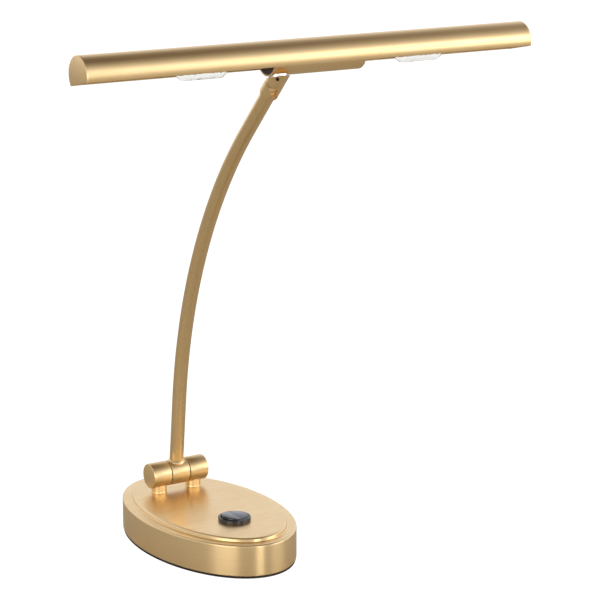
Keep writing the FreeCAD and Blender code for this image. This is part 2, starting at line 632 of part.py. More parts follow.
def trough_sketch(body, name, outer, inner, edge, raised, upward):
    """Part ring in the YZ plane, closed by two level edges at one height."""
    sketch = body.newObject("Sketcher::SketchObject", name)
    plane = next(item for item in body.Origin.OriginFeatures if item.Role == "YZ_Plane")
    sketch.AttachmentSupport = [(plane, "")]
    sketch.MapMode = "FlatFace"
    rough_centre = Vector(0, size(raised) if raised else 0, 0)
    rough_outer = 12.0
    low, high = (-0.3, math.pi + 0.3) if upward else (math.pi + 0.1, 2 * math.pi - 0.1)
    arcs = []
    for radius in (rough_outer, rough_outer - 1.0):
        circle = Part.Circle(rough_centre, Z_AXIS, radius)
        arcs.append(sketch.addGeometry(Part.ArcOfCircle(circle, low, high), False))
    lines = []
    for end in (1, 2):
        first = sketch.getPoint(arcs[0], end)
        second = sketch.getPoint(arcs[1], end)
        lines.append(sketch.addGeometry(Part.LineSegment(first, second), False))
        sketch.addConstraint(Sketcher.Constraint("Coincident", lines[-1], 1, arcs[0], end))
        sketch.addConstraint(Sketcher.Constraint("Coincident", lines[-1], 2, arcs[1], end))
        sketch.addConstraint(Sketcher.Constraint("Horizontal", lines[-1]))
    sketch.addConstraint(Sketcher.Constraint("Coincident", arcs[0], 3, arcs[1], 3))
    sketch.addConstraint(Sketcher.Constraint("PointOnObject", arcs[0], 3, -2))
    if raised:
        sketch.addConstraint(Sketcher.Constraint("DistanceY", -1, 1, arcs[0], 3, size(raised)))
        sketch.renameConstraint(sketch.ConstraintCount - 1, "raise")
        sketch.setExpression("Constraints.raise", formula(raised))
    else:
        sketch.addConstraint(Sketcher.Constraint("PointOnObject", arcs[0], 3, -1))
    for name_of, arc, text in (("outer", arcs[0], outer), ("inner", arcs[1], inner)):
        rough = rough_outer if arc == arcs[0] else rough_outer - 1.0
        sketch.addConstraint(Sketcher.Constraint("Radius", arc, rough))
        sketch.renameConstraint(sketch.ConstraintCount - 1, name_of)
        sketch.setExpression(f"Constraints.{name_of}", formula(text))
    level = sheet_value(edge)
    for number, line in enumerate(lines):
        if abs(level) < 0.001:
            sketch.addConstraint(Sketcher.Constraint("PointOnObject", line, 1, -1))
            continue
        above = level > 0
        ends = (-1, 1, line, 1) if above else (line, 1, -1, 1)
        sketch.addConstraint(Sketcher.Constraint("DistanceY", *ends, abs(level)))
        sketch.renameConstraint(sketch.ConstraintCount - 1, f"edge{number}")
        sketch.setExpression(f"Constraints.edge{number}", formula(edge if above else f"- ( {edge} )"))
    return sketch


def sheet_value(text):
    """Value of a size or of a size with a minus sign."""
    if text == "0":
        return 0.0
    return -size(text[1:].strip()) if text.startswith("-") else size(text)


def trough_body(label, outer, inner, edge, length, start, raised=None, upward=True):
    """PartDesign body with the trough section, running along the shade."""
    body = doc.addObject("PartDesign::Body", label + "_body")
    doc.recompute()
    sketch = trough_sketch(body, label + "_section", outer, inner, edge, raised, upward)
    pad = body.newObject("PartDesign::Pad", label + "_pad")
    pad.Profile = sketch
    pad.setExpression("Length", formula(length))
    body.Placement = HEAD * Placement(Vector(start, 0, 0), Rotation())
    doc.recompute()
    return body


def below_edge(name, drop, x, length):
    """Box in the shade's frame that takes away what lies under the shade's open edge."""
    shape = doc.addObject("Part::Box", name)
    shape.setExpression("Length", formula(length))
    shape.setExpression("Width", formula("shade_radius * 4"))
    shape.setExpression("Height", formula("shade_radius * 2"))
    corner = Vector(x, -size("shade_radius") * 2, drop - size("shade_radius") * 2)
    shape.Placement = HEAD * Placement(corner, Rotation())
    return shape


def make_shade():
    half = size("shade_length") / 2
    cap = size("cap_thick")
    node("shade_shell", trough_body("shade_shell", "shade_radius", "shade_radius - shade_wall",
                                    "- shade_open_drop", "shade_length - cap_thick * 2", -half + cap))
    for side, sign in (("left", -1), ("right", 1)):
        outside = half - cap if sign > 0 else -half
        disc = rod(f"cap_disc_{side}", "shade_radius", "cap_thick", Vector(outside, 0, 0), X_AXIS, HEAD)
        cap_face = cut(f"cap_face_{side}", disc,
                       below_edge(f"cap_below_{side}", -size("shade_open_drop"), -half, "shade_length"))
        inside = half - cap - size("cap_plug_depth") if sign > 0 else -half + cap
        inner_disc = rod(f"cap_plug_disc_{side}", "shade_radius - shade_wall - cap_plug_gap",
                         "cap_plug_depth", Vector(inside, 0, 0), X_AXIS, HEAD)
        inner_face = cut(f"cap_plug_{side}", inner_disc,
                         below_edge(f"plug_below_{side}", size("cap_plug_depth"), -half, "shade_length"))
        node(f"shade_end_{side}", fuse(f"shade_end_{side}", cap_face, inner_face))
    liner = trough_body("reflector", "shade_radius - shade_wall - reflector_gap",
                        "shade_radius - shade_wall - reflector_gap - reflector_thick", "reflector_edge",
                        "shade_length - ( cap_thick + cap_plug_depth ) * 2",
                        -half + cap + size("cap_plug_depth"))
    rooms = [rod(f"liner_room_{number}", "carrier_post_radius + screw_gap", "shade_radius * 2",
                 Vector(x, 0, 0), Z_AXIS, HEAD)
             for number, x in enumerate((-size("carrier_post_x"), size("carrier_post_x")))]
    node("reflector", cut("reflector", liner, *rooms))


def trough_floor(radius):
    """Height at which a round foot of this radius meets the carrier's curved floor."""
    inside = size("carrier_radius") - size("carrier_wall")
    return size("carrier_raise") - math.sqrt(inside ** 2 - radius ** 2)


def half_disc(name, radius, length, start):
    """Lower part of a disc that fits the carrier's inside, level on top."""
    disc = rod(name + "_disc", radius, length, Vector(start, 0, size("carrier_raise")), X_AXIS, HEAD)
    top = block(name + "_top", ("shade_length", "shade_radius * 4", "shade_radius * 2"), Vector(0, 0, 0), HEAD)
    return cut(name, disc, top)


def make_carrier():
    half = size("carrier_half_length")
    trough = trough_body("carrier", "carrier_radius", "carrier_radius - carrier_wall", "0",
                         "carrier_half_length * 2", -half, "carrier_raise", False)
    floor = size("carrier_raise") - size("carrier_radius")
    floor_top = floor + size("carrier_wall")
    rooms = [rod("carrier_stud_room", "swivel_stud_radius + running_gap", "carrier_radius",
                 Vector(-size("head_shift"), 0, floor - size("carrier_wall")), Z_AXIS, HEAD)]
    posts = []
    screws = []
    for number, x in enumerate((-size("carrier_post_x"), size("carrier_post_x"))):
        rooms.append(countersink(f"carrier_sink_{number}", x, floor, "screw_gap"))
        foot = trough_floor(size("carrier_post_radius"))
        pillar = rod(f"pillar_{number}", "carrier_post_radius", "carrier_radius + shade_radius",
                     Vector(x, 0, foot), Z_AXIS, HEAD)
        roof = rod(f"pillar_roof_{number}", "shade_radius - shade_wall", "carrier_post_radius * 4",
                   Vector(x - size("carrier_post_radius") * 2, 0, 0), X_AXIS, HEAD)
        under_roof = common(f"pillar_cut_{number}", pillar, roof)
        thread = rod(f"pillar_thread_{number}", "carrier_screw_radius + running_gap", "carrier_screw_reach",
                     Vector(x, 0, foot), Z_AXIS, HEAD)
        posts.append(cut(f"carrier_post_{number}", under_roof, thread))
        screw = countersink(f"carrier_screw_{number}", x, floor, "0")
        outline = rod(f"carrier_screw_round_{number}", "carrier_radius", "carrier_radius",
                      Vector(x - size("carrier_radius") / 2, 0, size("carrier_raise")), X_AXIS, HEAD)
        screws.append(common(f"carrier_screw_flush_{number}", screw, outline))
    node("shade_carrier", cut("shade_carrier", trough, *rooms))
    node("carrier_posts", group("carrier_posts", *posts))
    node("carrier_screws", group("carrier_screws", *screws))

    for side, sign in (("left", -1), ("right", 1)):
        start = -half if sign < 0 else half - size("end_plug_thick")
        plug = half_disc(f"plug_{side}", "carrier_radius - carrier_wall - running_gap", "end_plug_thick", start)
        tenon_room = rod(f"tenon_hole_{side}", "tenon_radius + running_gap", "end_plug_thick",
                         Vector(start, 0, -size("tenon_drop")), X_AXIS, HEAD)
        node(f"carrier_end_{side}", cut(f"carrier_end_{side}", plug, tenon_room))

    # The bright ring between the coupling's flat top and the carrier's round underside
    face = Vector(-size("head_shift"), 0, -size("coupling_face_drop") + size("side_gap"))
    saddle = rod("saddle_disc", "coupling_radius - screw_gap", "coupling_radius", face, Z_AXIS, HEAD)
    hollow = rod("saddle_round", "carrier_radius", "carrier_radius * 2",
                 Vector(-size("head_shift") - size("carrier_radius"), 0, size("carrier_raise")), X_AXIS, HEAD)
    bore = rod("saddle_bore", "swivel_stud_radius + running_gap", "coupling_radius", face, Z_AXIS, HEAD)
    over = block("saddle_over", ("coupling_radius * 4", "coupling_radius * 4", "coupling_radius * 2"),
                 Vector(-size("head_shift"), 0, floor_top), HEAD)
    node("swivel_washer", cut("swivel_washer", saddle, hollow, bore, over))
    stud_start = Vector(-size("head_shift"), 0, -size("coupling_face_drop") - size("swivel_stud_sink"))
    node("swivel_stud", rod("swivel_stud", "swivel_stud_radius",
                            "coupling_face_drop + swivel_stud_sink + carrier_raise + swivel_nut_thick"
                            " - sqrt ( ( carrier_radius - carrier_wall ) ^ 2 - swivel_nut_radius ^ 2 )",
                            stud_start, Z_AXIS, HEAD))
    nut_start = Vector(-size("head_shift"), 0, trough_floor(size("swivel_nut_radius")) + size("side_gap"))
    prism = doc.addObject("Part::Prism", "swivel_nut_prism")
    prism.Polygon = 6
    prism.setExpression("Circumradius", formula("swivel_nut_radius"))
    prism.setExpression("Height", formula("swivel_nut_thick"))
    prism.Placement = HEAD * Placement(nut_start, Rotation(Z_AXIS, 30))
    nut_bore = rod("swivel_nut_bore", "swivel_stud_radius + running_gap", "swivel_nut_thick", nut_start,
                   Z_AXIS, HEAD)
    node("swivel_nut", cut("swivel_nut", prism, nut_bore))

    wires = []
    inner = size("carrier_radius") - size("carrier_wall") - size("wire_radius") - size("running_gap")
    offset = size("wire_spacing") / 2
    level = size("carrier_raise") - math.sqrt(inner ** 2 - offset ** 2)
    for number, y in enumerate((-offset, offset)):
        wires.append(rod(f"wire_{number}", "wire_radius", "( carrier_half_length - end_plug_thick ) * 2",
                         Vector(-half + size("end_plug_thick"), y, level), X_AXIS, HEAD))
    nut_room = rod("wire_nut_room", "swivel_nut_radius + lug_gap", "carrier_radius", nut_start, Z_AXIS, HEAD)
    bundle = group("wire_bundle", *wires)
    node("head_wires", cut("head_wires", bundle, nut_room))


def countersink(name, x, floor, gap):
    """Flush screw through the carrier's floor, or its hole when a gap is given."""
    head = doc.addObject("Part::Cone", name + "_head")
    head.setExpression("Radius1", formula(f"carrier_screw_head + {gap}"))
    head.setExpression("Radius2", formula(f"carrier_screw_radius + {gap}"))
    head.setExpression("Height", formula("carrier_wall"))
    head.Placement = HEAD * Placement(Vector(x, 0, floor), Rotation())
    shank = rod(name + "_shank", f"carrier_screw_radius + {gap}", "carrier_wall + carrier_screw_reach",
                Vector(x, 0, floor), Z_AXIS, HEAD)
    return fuse(name, head, shank)


def make_lamp(side, sign):
    """Holder and capsule bulb on one side of the carrier; sign gives the direction along X."""
    axis = X_AXIS * sign
    root = size("carrier_half_length")
    centre = Vector(0, 0, -size("lamp_drop"))
    holder_start = centre + axis * root
    pinch_start = holder_start + axis * size("holder_length")
    glass_start = pinch_start + axis * size("pinch_length")

    bar = rod(f"holder_bar_{side}", "holder_radius", "holder_length", holder_start, axis, HEAD)
    flat_top = Vector(holder_start.x + sign * size("holder_length") / 2, 0, -size("holder_flat_drop"))
    kept = block(f"holder_kept_{side}", ("holder_length", "holder_radius * 2", "holder_radius * 2"),
                 flat_top, HEAD)
    body = common(f"holder_body_{side}", bar, kept)
    tenon = rod(f"holder_tenon_{side}", "tenon_radius", "end_plug_thick",
                Vector(0, 0, -size("tenon_drop")) + axis * (root - size("end_plug_thick")), axis, HEAD)
    pins = []
    pin_rooms = []
    for number, y in enumerate((-size("lamp_pin_pitch") / 2, size("lamp_pin_pitch") / 2)):
        start = pinch_start + Vector(0, y, 0)
        pins.append(rod(f"lamp_pin_{side}_{number}", "lamp_pin_radius", "lamp_pin_length", start,
                        axis * -1, HEAD))
        pin_rooms.append(rod(f"pin_room_{side}_{number}", "lamp_pin_radius + running_gap",
                             "lamp_pin_length", start, axis * -1, HEAD))
    node(f"lampholder_{side}", cut(f"lampholder_{side}", fuse(f"holder_form_{side}", body, tenon), *pin_rooms))
    node(f"bulb_pins_{side}", group(f"bulb_pins_{side}", *pins))

    outside = rod(f"glass_round_{side}", "glass_radius", "glass_length", glass_start, axis, HEAD)
    rounded = soften(f"glass_soft_{side}", "Part::Fillet", outside, size("glass_round"),
                     lambda edge: len(edge.Vertexes) == 1 and edge.Curve.TypeId == "Part::GeomCircle")
    room_start = glass_start + axis * size("glass_wall")
    room = rod(f"glass_room_{side}", "glass_radius - glass_wall", "glass_length - glass_wall * 2",
               room_start, axis, HEAD)
    room_soft = soften(f"glass_room_soft_{side}", "Part::Fillet", room,
                       size("glass_round") - size("glass_wall"),
                       lambda edge: len(edge.Vertexes) == 1 and edge.Curve.TypeId == "Part::GeomCircle")
    flat = doc.addObject("Part::Box", f"pinch_{side}")
    flat.setExpression("Length", formula("pinch_length + glass_wall / 2"))
    flat.setExpression("Width", formula("pinch_width"))
    flat.setExpression("Height", formula("pinch_thick"))
    low_x = pinch_start.x if sign > 0 else glass_start.x - size("glass_wall") / 2
    flat.Placement = HEAD * Placement(Vector(low_x, -size("pinch_width") / 2,
                                             centre.z - size("pinch_thick") / 2), Rotation())
    tip_start = glass_start + axis * (size("glass_length") - size("glass_wall") / 2)
    tip = doc.addObject("Part::Cone", f"pip_{side}")
    tip.setExpression("Radius1", formula("pip_radius"))
    tip.setExpression("Radius2", formula("pip_radius / 2"))
    tip.setExpression("Height", formula("pip_length"))
    tip.Placement = HEAD * Placement(tip_start, Rotation(Z_AXIS, axis))
    closed = fuse(f"glass_form_{side}", rounded, flat, tip)
    node(f"bulb_glass_{side}", cut(f"bulb_glass_{side}", closed, room_soft))
    node(f"filament_{side}", rod(f"filament_{side}", "filament_radius", "filament_length", room_start,
                                 axis, HEAD))


def check_and_write():
    doc.recompute()
    for item in doc.Objects:
        if "Invalid" in item.State or "Error" in item.State:
            raise RuntimeError(f"{item.Name} failed: {item.State}")
    for item in nodes:
        if item.Shape.isNull() or not item.Shape.isValid():
            raise RuntimeError(f"{item.Label} has no valid shape")
    os.makedirs("parts", exist_ok=True)
    for item in nodes:
        item.Shape.exportStep(f"parts/{item.Label}.step")
        print(item.Label, "solids", len(item.Shape.Solids), "volume", round(item.Shape.Volume, 1))


make_base_shell()
make_base_inside()
make_switch()
make_hinge()
make_arm()
make_couplings()
make_shade()
make_carrier()
make_lamp("left", -1)
make_lamp("right", 1)
check_and_write()
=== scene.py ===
import json
import math

import bmesh
import bpy
from mathutils import Matrix, Vector


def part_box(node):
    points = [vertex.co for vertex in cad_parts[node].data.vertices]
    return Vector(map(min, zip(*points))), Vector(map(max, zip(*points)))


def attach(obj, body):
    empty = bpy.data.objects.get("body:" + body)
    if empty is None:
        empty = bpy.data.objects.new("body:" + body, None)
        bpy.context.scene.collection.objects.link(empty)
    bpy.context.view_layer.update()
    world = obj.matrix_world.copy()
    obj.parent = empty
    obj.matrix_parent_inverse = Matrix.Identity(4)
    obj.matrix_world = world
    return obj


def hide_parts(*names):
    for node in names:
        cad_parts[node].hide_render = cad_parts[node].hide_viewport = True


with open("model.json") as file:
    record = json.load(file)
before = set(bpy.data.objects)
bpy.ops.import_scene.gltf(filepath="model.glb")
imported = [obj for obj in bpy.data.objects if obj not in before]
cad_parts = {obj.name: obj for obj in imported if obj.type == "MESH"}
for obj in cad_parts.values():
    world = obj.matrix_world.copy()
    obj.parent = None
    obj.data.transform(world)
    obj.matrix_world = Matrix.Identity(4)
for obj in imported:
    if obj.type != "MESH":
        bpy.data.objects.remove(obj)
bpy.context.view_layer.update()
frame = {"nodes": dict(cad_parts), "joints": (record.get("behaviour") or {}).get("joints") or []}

bl_info = {
    "name": "Piano Lamp Dressing",
    "version": (1, 0, 0),
    "blender": (4, 5, 0),
    "location": "View3D > Sidebar > Lamp",
    "description": "Models and finishes the visible pieces of a piano lamp around its fixed frame",
    "category": "Object",
}

X_AXIS = Vector((1, 0, 0))
Z_AXIS = Vector((0, 0, 1))
JOINTS = {joint["name"]: joint for joint in frame["joints"]}
HINGE = Vector(JOINTS["arm_tilt"]["pos_m"])
SWIVEL = Vector(JOINTS["head_swivel"]["pos_m"])
UPRIGHT = Vector(JOINTS["head_swivel"]["axis"]).normalized()
ROCKER = Vector(JOINTS["rocker_press"]["pos_m"])
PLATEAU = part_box("base_shell")[1].z

SMOOTH_ANGLE = math.radians(35)
MERGE_DISTANCE = 1e-7
ON_FACE = 1e-6

# Least upward part of a face's normal, for the plateau's finish
UPWARD = 0.9

# Segments of the curved shapes
OVAL_STEPS = 288
BARREL_STEPS = 96
POST_STEPS = 64
TUBE_STEPS = 72
BEND_STEPS = 64
TROUGH_STEPS = 120
END_STEPS = 160
SWITCH_STEPS = 128
EDGE_STEPS = 8
FOOT_STEPS = 5
RIM_STEPS = 3
BEZEL_STEPS = 6

# Other tones of the finishes, and what a stain or soil leaves of one
ZINC = (0.62, 0.61, 0.58)
NICKEL = (0.93, 0.88, 0.82)
BLACKENED = (0.10, 0.07, 0.05)
LAMP_WIRE = (0.42, 0.41, 0.40)
RUBBER = (0.03, 0.03, 0.03)
LEAD = (0.06, 0.06, 0.06)
TERMINAL = (0.85, 0.84, 0.80)
LINER = (0.92, 0.92, 0.90)
STEATITE = (0.72, 0.66, 0.56)
BLACK_SMEAR = (0.022, 0.021, 0.020)
SATIN_LOW = (0.018, 0.012, 0.009)
SATIN_HIGH = (0.05, 0.034, 0.024)
FELT_HOLLOW = (0.012, 0.008, 0.007)
IRON = (0.05, 0.05, 0.052)
RUST = (0.11, 0.075, 0.055)
GLASS_FOG = (0.90, 0.90, 0.88)
GLASS = (0.98, 0.98, 0.97)
STAINED = 0.72
SOILED = 0.86

# Name, place, aim, width, height and power of each softbox, in metres and watts
LIGHTS = (
    ("key_box", (1.7, -1.5, 0.7), (0.0, -0.05, 0.2), 1.5, 1.2, 10.0),
    ("low_box", (-0.08, -2.2, 0.36), (0.0, -0.05, 0.12), 0.6, 0.66, 6.5),
    ("left_box", (-1.8, -0.9, 0.42), (0.0, 0.0, 0.12), 1.2, 0.75, 9.0),
)

# Floor's half size, its drop below the lamp, and its glow for the camera and through glass
FLOOR_SIZE = 6.0
FLOOR_DROP = 0.0002
FLOOR_GLOW = 1.42
FLOOR_GLOW_SHARE = 0.72

# Place on the sky's ramp and colour, for the bright belt and for the ceiling
BELT = (0.42, (1.0, 1.03, 1.12))
CEILING = (0.88, (0.09, 0.055, 0.028))
SKY_POWER = 1.1
WHITE = (1, 1, 1)

# Camera at the photograph's viewing angle, in metres, degrees and millimetres
CAMERA_PLACE = (-0.7575, -1.3036, 0.5399)
CAMERA_AZIMUTH = -32.645
CAMERA_ELEVATION = 13.579
CAMERA_LENS = 134.03
CAMERA_REACH = 50


def metres(name, default, description):
    return bpy.props.FloatProperty(name=name, default=default, description=description,
                                   subtype="DISTANCE", unit="LENGTH", precision=5)


def degrees(name, default, description):
    return bpy.props.FloatProperty(name=name, default=math.radians(default), description=description,
                                   subtype="ANGLE", unit="ROTATION")


def share(name, default, description):
    return bpy.props.FloatProperty(name=name, default=default, description=description, subtype="FACTOR")


def colour(name, default, description):
    return bpy.props.FloatVectorProperty(name=name, default=default, size=3, min=0, max=1,
                                         description=description, subtype="COLOR")


class LampBaseSizes(bpy.types.PropertyGroup):
    wall: metres("Wall", 0.002, "Thickness of the pressed cover")
    lip_round: metres("Lip round", 0.0005, "Round of the cover's lower edge")
    band_height: metres("Band height", 0.0236, "Height of the narrow rim band")
    band_inset: metres("Band inset", 0.007, "Distance from the wall to the step")
    edge_round: metres("Edge round", 0.0013, "Round where the wall meets the band")
    foot_round: metres("Foot round", 0.0008, "Hollow round at the foot of the step")
    top_round: metres("Top round", 0.0017, "Round at the top of the step")
    top_margin: metres("Top margin", 0.004, "First flat ring of the plateau, beside its round")
    barrel_chamfer: metres("Barrel chamfer", 0.0006, "Softened ends of the hinge barrels")
    washer_soft: share("Washer edge", 0.2, "Softened edge of a hinge washer, as a share of its thickness")
    post_flare: metres("Post flare", 0.0004, "Flare where a post meets the cover")
    flare_draw: share("Flare draw", 0.35, "How far a post draws in above its flare, as a share of the flare")
    post_stop: share("Post stop", 0.9, "Top of a post below the hinge axis, as a share of its radius")


class LampSwitchSizes(bpy.types.PropertyGroup):
    bezel_thick: metres("Bezel", 0.0026, "Height of the bezel above the plateau")
    bezel_round: metres("Bezel round", 0.0006, "Round of the bezel's upper edge")
    body_radius: metres("Body", 0.0107, "Radius of the switch body under the bezel")
    body_depth: metres("Body depth", 0.014, "Depth of the switch body")
    well_radius: metres("Well", 0.0098, "Radius of the rocker's well")
    well_depth: metres("Well depth", 0.010, "Depth of the rocker's well")
    rocker_radius: metres("Rocker", 0.0094, "Radius of the rocker")
    crease: metres("Crease", 0.0038, "Height of the rocker's crease above its pivot")
    below: metres("Skirt", 0.003, "Depth of the rocker below its pivot")
    facet: degrees("Facet", 5.0, "Slope of each half of the rocker")
    tilt: degrees("Tilt", 4.0, "Lean of the whole rocker when it is on")
    soft: metres("Rocker round", 0.0005, "Round of the rocker's edges")


class LampArmSizes(bpy.types.PropertyGroup):
    tube_wall: metres("Tube wall", 0.001, "Wall of the arm tube")
    seat: metres("Seat", 0.0046, "Start of the tube, from the hinge axis")
    first_run: metres("First run", 0.0557, "Straight run above the hinge axis")
    bend_radius: metres("Bend radius", 0.3618, "Radius of the arm's bend")
    last_run: metres("Last run", 0.0368, "Straight run below the knuckle")
    lean_low: degrees("Lower lean", 6.4, "Forward lean of the first run")
    lean_high: degrees("Upper lean", 43.45, "Forward lean of the last run")
    weld: metres("Root fillet", 0.0012, "Fillet where the tube enters its barrel")
    weld_overlap: metres("Root overlap", 0.0003, "How far the fillet's end lies inside the tube's wall")


class LampHeadSizes(bpy.types.PropertyGroup):
    face_drop: metres("Face drop", 0.011, "Knuckle's flat top, below the shade's axis")
    shift: metres("Shift", 0.0275, "Shade's middle, to the right of the arm")
    wall: metres("Shade wall", 0.0008, "Thickness of the shade's sheet")
    open_drop: metres("Open drop", 0.0055, "Shade's open edge, below its axis")
    edge_round: metres("Edge round", 0.00022, "Round of the shade's cut edges")
    cap_thick: metres("End cap", 0.0015, "Thickness of each end cap")
    cap_round: metres("End cap round", 0.00035, "Round of the end cap's rim")


class LampColours(bpy.types.PropertyGroup):
    gold: colour("Gold", (0.85, 0.63, 0.335), "Satin gold plating")
    gold_deep: colour("Deep gold", (0.79, 0.56, 0.27), "Gold in the grain's hollows")
    black: colour("Black", (0.012, 0.011, 0.011), "Gloss black mouldings")
    felt: colour("Felt", (0.035, 0.024, 0.02), "Pad under the base")
    floor: colour("Floor", (0.60, 0.55, 0.46), "Studio floor")


class Value:
    """A socket that adds Math nodes when it is used in an expression."""

    def __init__(self, maker, socket):
        self.maker = maker
        self.socket = socket

    def maths(self, operation, first, second):
        return self.maker.value("ShaderNodeMath", {"operation": operation}, {0: first, 1: second})

    def __add__(self, other):
        return self.maths("ADD", self, other)

    def __radd__(self, other):
        return self.maths("ADD", other, self)

    def __mul__(self, other):
        return self.maths("MULTIPLY", self, other)

    def __rmul__(self, other):
        return self.maths("MULTIPLY", other, self)


class NodeMaker:
    """A node tree that is built up node by node."""

    def __init__(self, tree):
        self.tree = tree

    def node(self, kind, settings, sockets):
        """New node with its settings, a ramp's stops among them, and the values or links of its sockets."""
        made = self.tree.nodes.new(kind)
        for key, setting in settings.items():
            if key == "stops":
                for stop, (place, tone) in zip(made.color_ramp.elements, setting):
                    stop.position = place
                    stop.color = (*tone, 1)
            else:
                setattr(made, key, setting)
        for key, given in sockets.items():
            socket = made.inputs[key]
            if isinstance(given, Value):
                self.tree.links.new(given.socket, socket)
            elif socket.type == "RGBA":
                socket.default_value = (*given, 1)
            else:
                socket.default_value = given
        return made

    def value(self, kind, settings, sockets, output=0):
        return Value(self, self.node(kind, settings, sockets).outputs[output])

    def ray(self, kind):
        """One for rays of a kind, such as Is Camera Ray, and nought for the rest."""
        return self.value("ShaderNodeLightPath", {}, {}, kind)

    def mixed(self, factor, first, second):
        return self.value("ShaderNodeMixShader", {}, {"Fac": factor, 1: first, 2: second})


class Recipe(NodeMaker):
    """One material, made from the Principled shader."""

    def __init__(self, name, **constants):
        self.material = bpy.data.materials.new(name)
        self.material.use_nodes = True
        super().__init__(self.material.node_tree)
        self.shader = self.tree.nodes["Principled BSDF"]
        for socket, number in constants.items():
            self.shader.inputs[socket.replace("_", " ")].default_value = number

    def place(self):
        return self.value("ShaderNodeTexCoord", {}, {}, "Object")

    def stretched(self, scale, turn=(0, 0, 0)):
        """Object coordinates, scaled for a grain that runs one way."""
        return self.value("ShaderNodeMapping", {}, {"Vector": self.place(), "Scale": scale, "Rotation": turn})

    def noise(self, vector, scale=1.0, detail=3.0, rough=0.6):
        return self.value("ShaderNodeTexNoise", {}, {"Vector": vector, "Scale": scale, "Detail": detail,
                                                     "Roughness": rough}, "Fac")

    def spread(self, value, source, target):
        """Value taken from one range to another, held at both ends."""
        return self.value("ShaderNodeMapRange", {"clamp": True},
                          {"Value": value, "From Min": source[0], "From Max": source[1],
                           "To Min": target[0], "To Max": target[1]})

    def between(self, mask, first, second):
        """Colour between two others, by a mask. Sockets 6 and 7 are the Mix node's colours, 2 its result."""
        return self.value("ShaderNodeMix", {"data_type": "RGBA"}, {"Factor": mask, 6: first, 7: second}, 2)

    def bump(self, height, strength, distance):
        self.link(self.value("ShaderNodeBump", {}, {"Height": height, "Strength": strength,
                                                    "Distance": distance}), "Normal")

    def link(self, value, socket):
        self.tree.links.new(value.socket, self.shader.inputs[socket])


def colours():
    return bpy.context.scene.lamp_colours


def toned(tone, factor):
    return tuple(part * factor for part in tone)


def gold(name, grain, turn=(0, 0, 0), rough=0.33, grain_depth=1.0, streak=0.0):
    """Satin gold plating with a fine grain, given as the grain's frequency along X, Y and Z."""
    recipe = Recipe(name, Metallic=1.0, Anisotropic=streak, Anisotropic_Rotation=0.25)
    fine = recipe.noise(recipe.stretched(grain, turn), detail=4.0, rough=0.7)
    cloud = recipe.noise(recipe.place(), scale=38.0, rough=0.55)
    mottled = recipe.noise(recipe.place(), scale=900.0, detail=2.0, rough=0.5)
    mask = recipe.spread(fine * 0.7 + cloud * 0.3, source=(0.34, 0.66), target=(0.0, 1.0))
    recipe.link(recipe.between(mask, colours().gold_deep, colours().gold), "Base Color")
    recipe.link(recipe.spread(fine * 0.85 + mottled * 0.15, source=(0.3, 0.7),
                              target=(rough + 0.05, rough - 0.05)), "Roughness")
    recipe.bump(fine * 0.92 + mottled * 0.08, strength=0.055 * grain_depth, distance=0.00004)
    return recipe.material


def gloss_black(name):
    recipe = Recipe(name, IOR=1.5)
    smear = recipe.noise(recipe.place(), scale=260.0, detail=4.0)
    speck = recipe.noise(recipe.place(), scale=2600.0, detail=2.0, rough=0.5)
    recipe.link(recipe.between(smear, colours().black, BLACK_SMEAR), "Base Color")
    recipe.link(recipe.spread(smear, source=(0.3, 0.7), target=(0.07, 0.16)), "Roughness")
    recipe.bump(speck, strength=0.03, distance=0.00002)
    return recipe.material


def satin_black(name, paleness=1.0):
    recipe = Recipe(name, IOR=1.45)
    grain = recipe.noise(recipe.place(), scale=1500.0)
    recipe.link(recipe.between(grain, toned(SATIN_LOW, paleness), toned(SATIN_HIGH, paleness)), "Base Color")
    recipe.link(recipe.spread(grain, source=(0.3, 0.7), target=(0.45, 0.65)), "Roughness")
    recipe.bump(grain, strength=0.15, distance=0.00005)
    return recipe.material


def felt(name):
    recipe = Recipe(name, IOR=1.4)
    fibres = recipe.noise(recipe.place(), scale=2200.0, detail=5.0, rough=0.75)
    tufts = recipe.noise(recipe.place(), scale=420.0)
    recipe.link(recipe.between(fibres, FELT_HOLLOW, colours().felt), "Base Color")
    recipe.link(recipe.spread(tufts, source=(0.3, 0.7), target=(0.85, 1.0)), "Roughness")
    recipe.bump(fibres * 0.6 + tufts * 0.4, strength=0.5, distance=0.0002)
    return recipe.material


def plated_steel(name, tone=ZINC, rough=0.28):
    recipe = Recipe(name, Metallic=1.0)
    grain = recipe.noise(recipe.place(), scale=900.0)
    stain = recipe.noise(recipe.place(), scale=120.0)
    recipe.link(recipe.between(stain, toned(tone, STAINED), tone), "Base Color")
    recipe.link(recipe.spread(grain, source=(0.3, 0.7), target=(rough, rough + 0.12)), "Roughness")
    recipe.bump(grain, strength=0.06, distance=0.00003)
    return recipe.material


def cast_iron(name):
    recipe = Recipe(name, Metallic=0.6)
    sand = recipe.noise(recipe.place(), scale=700.0, detail=6.0, rough=0.7)
    rust = recipe.noise(recipe.place(), scale=60.0, detail=4.0)
    recipe.link(recipe.between(rust, IRON, RUST), "Base Color")
    recipe.link(recipe.spread(sand, source=(0.3, 0.7), target=(0.6, 0.9)), "Roughness")
    recipe.bump(sand, strength=0.5, distance=0.0004)
    return recipe.material


def moulded(name, tone, rough=0.5):
    """Plain moulded, painted or ceramic surface with a fine skin and a little soil."""
    recipe = Recipe(name, IOR=1.46)
    grain = recipe.noise(recipe.place(), scale=1300.0)
    soil = recipe.noise(recipe.place(), scale=70.0)
    recipe.link(recipe.between(soil, toned(tone, SOILED), tone), "Base Color")
    recipe.link(recipe.spread(grain, source=(0.3, 0.7), target=(rough - 0.06, rough + 0.08)), "Roughness")
    recipe.bump(grain, strength=0.08, distance=0.00005)
    return recipe.material


